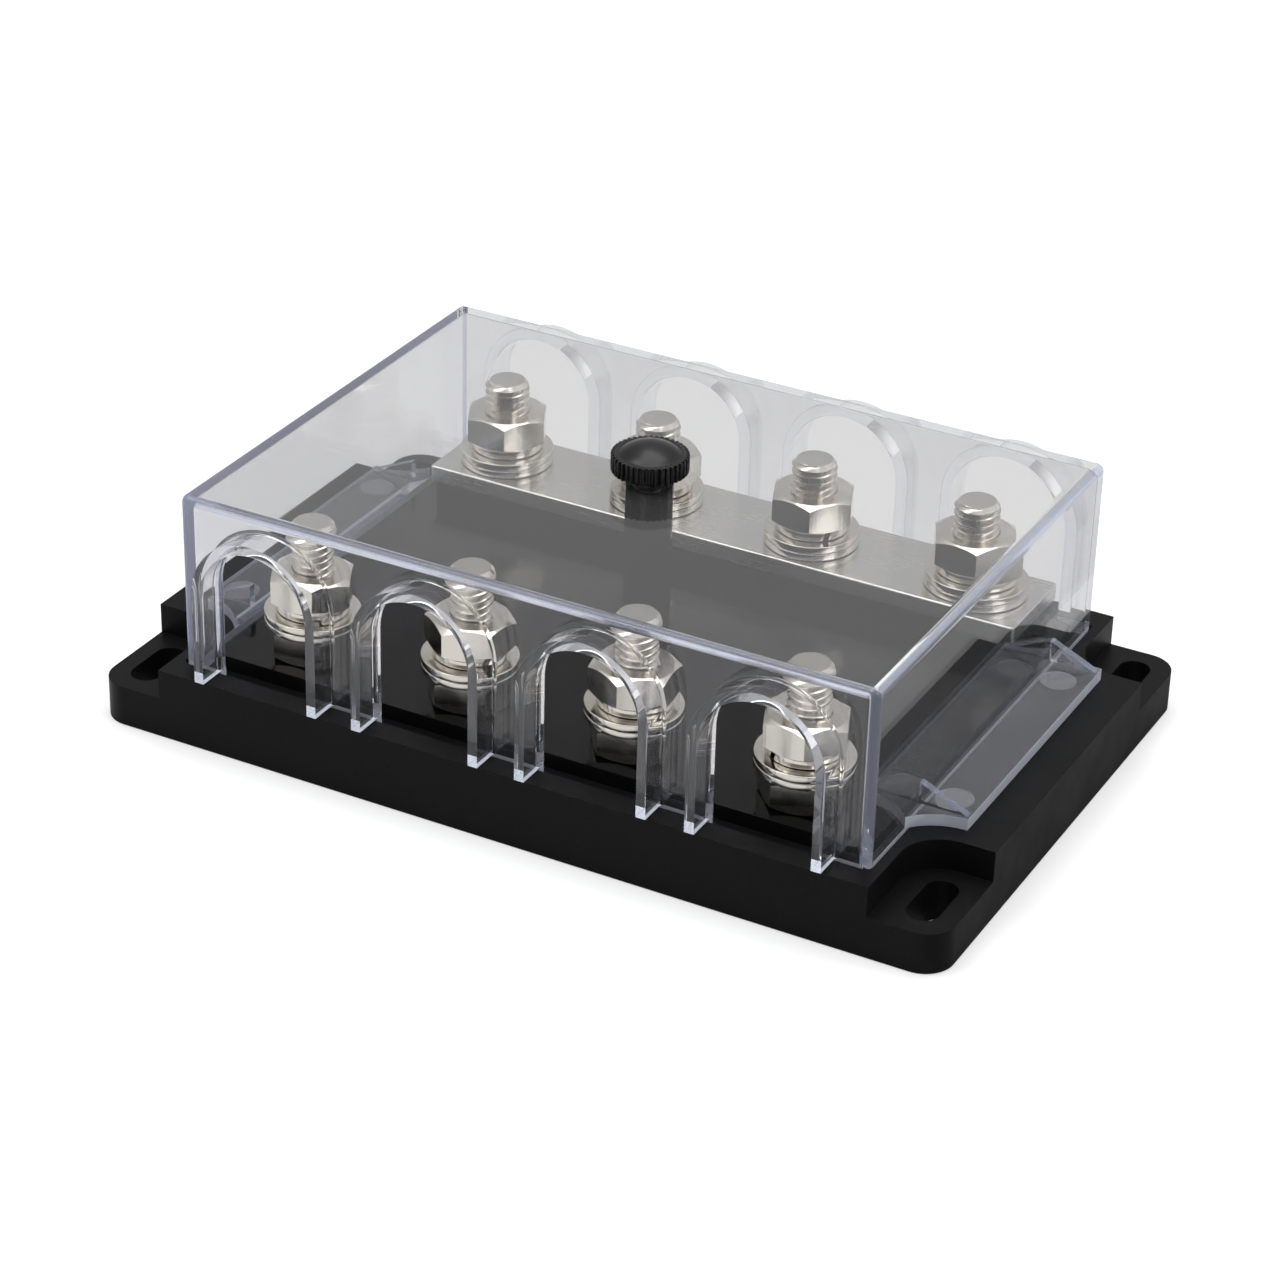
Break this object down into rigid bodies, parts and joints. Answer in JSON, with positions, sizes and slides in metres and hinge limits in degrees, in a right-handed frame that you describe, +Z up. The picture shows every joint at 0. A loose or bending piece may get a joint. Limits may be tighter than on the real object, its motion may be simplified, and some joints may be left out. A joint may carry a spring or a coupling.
{
  "type": "anl fuse holder",
  "caption": "Bolt-down fuse block with a slotted black base, plated terminal studs, a rear bus bar and a clear cover with cable arches held by a thumb screw.",
  "frame": {"origin": "middle of the base's underside", "axes": "+X along the long side, +Y towards the bus bar, +Z up out of the cover's top"},
  "size_m": [0.15, 0.0966, 0.0485],
  "materials": {
    "black_moulding": "satin black moulded plastic",
    "clear_cover": "clear glossy polycarbonate",
    "black_knob": "semi-gloss black plastic",
    "nickel_plate": "bright nickel plate",
    "brass": "turned brass"
  },
  "bodies": {
    "block": {"base": "black_moulding", "bus_bar": "nickel_plate", "post_insert": "brass", "stud_front_1": "nickel_plate", "seat_nut_front_1": "nickel_plate", "flat_washer_front_1_a": "nickel_plate", "flat_washer_front_1_b": "nickel_plate", "lock_washer_front_1": "nickel_plate", "nut_front_1": "nickel_plate", "stud_front_2": "nickel_plate", "seat_nut_front_2": "nickel_plate", "flat_washer_front_2_a": "nickel_plate", "flat_washer_front_2_b": "nickel_plate", "lock_washer_front_2": "nickel_plate", "nut_front_2": "nickel_plate", "stud_front_3": "nickel_plate", "seat_nut_front_3": "nickel_plate", "flat_washer_front_3_a": "nickel_plate", "flat_washer_front_3_b": "nickel_plate", "lock_washer_front_3": "nickel_plate", "nut_front_3": "nickel_plate", "stud_front_4": "nickel_plate", "seat_nut_front_4": "nickel_plate", "flat_washer_front_4_a": "nickel_plate", "flat_washer_front_4_b": "nickel_plate", "lock_washer_front_4": "nickel_plate", "nut_front_4": "nickel_plate", "stud_rear_1": "nickel_plate", "flat_washer_rear_1_a": "nickel_plate", "flat_washer_rear_1_b": "nickel_plate", "lock_washer_rear_1": "nickel_plate", "nut_rear_1": "nickel_plate", "stud_rear_2": "nickel_plate", "flat_washer_rear_2_a": "nickel_plate", "flat_washer_rear_2_b": "nickel_plate", "lock_washer_rear_2": "nickel_plate", "nut_rear_2": "nickel_plate", "stud_rear_3": "nickel_plate", "flat_washer_rear_3_a": "nickel_plate", "flat_washer_rear_3_b": "nickel_plate", "lock_washer_rear_3": "nickel_plate", "nut_rear_3": "nickel_plate", "stud_rear_4": "nickel_plate", "flat_washer_rear_4_a": "nickel_plate", "flat_washer_rear_4_b": "nickel_plate", "lock_washer_rear_4": "nickel_plate", "nut_rear_4": "nickel_plate"},
    "lid": {"cover": "clear_cover"},
    "thumb_fastener": {"thumb_knob": "black_knob", "thumb_screw": "nickel_plate"}
  },
  "joints": [
    {"name": "cover_lift", "type": "slide", "parent": "block", "child": "lid", "axis": [0, 0, 1], "range_m": [0, 0.045]},
    {"name": "thumb_screw_turn", "type": "hinge", "parent": "lid", "child": "thumb_fastener", "pos_m": [0, 0, 0.04245], "axis": [0, 0, 1], "continuous": true}
  ]
}
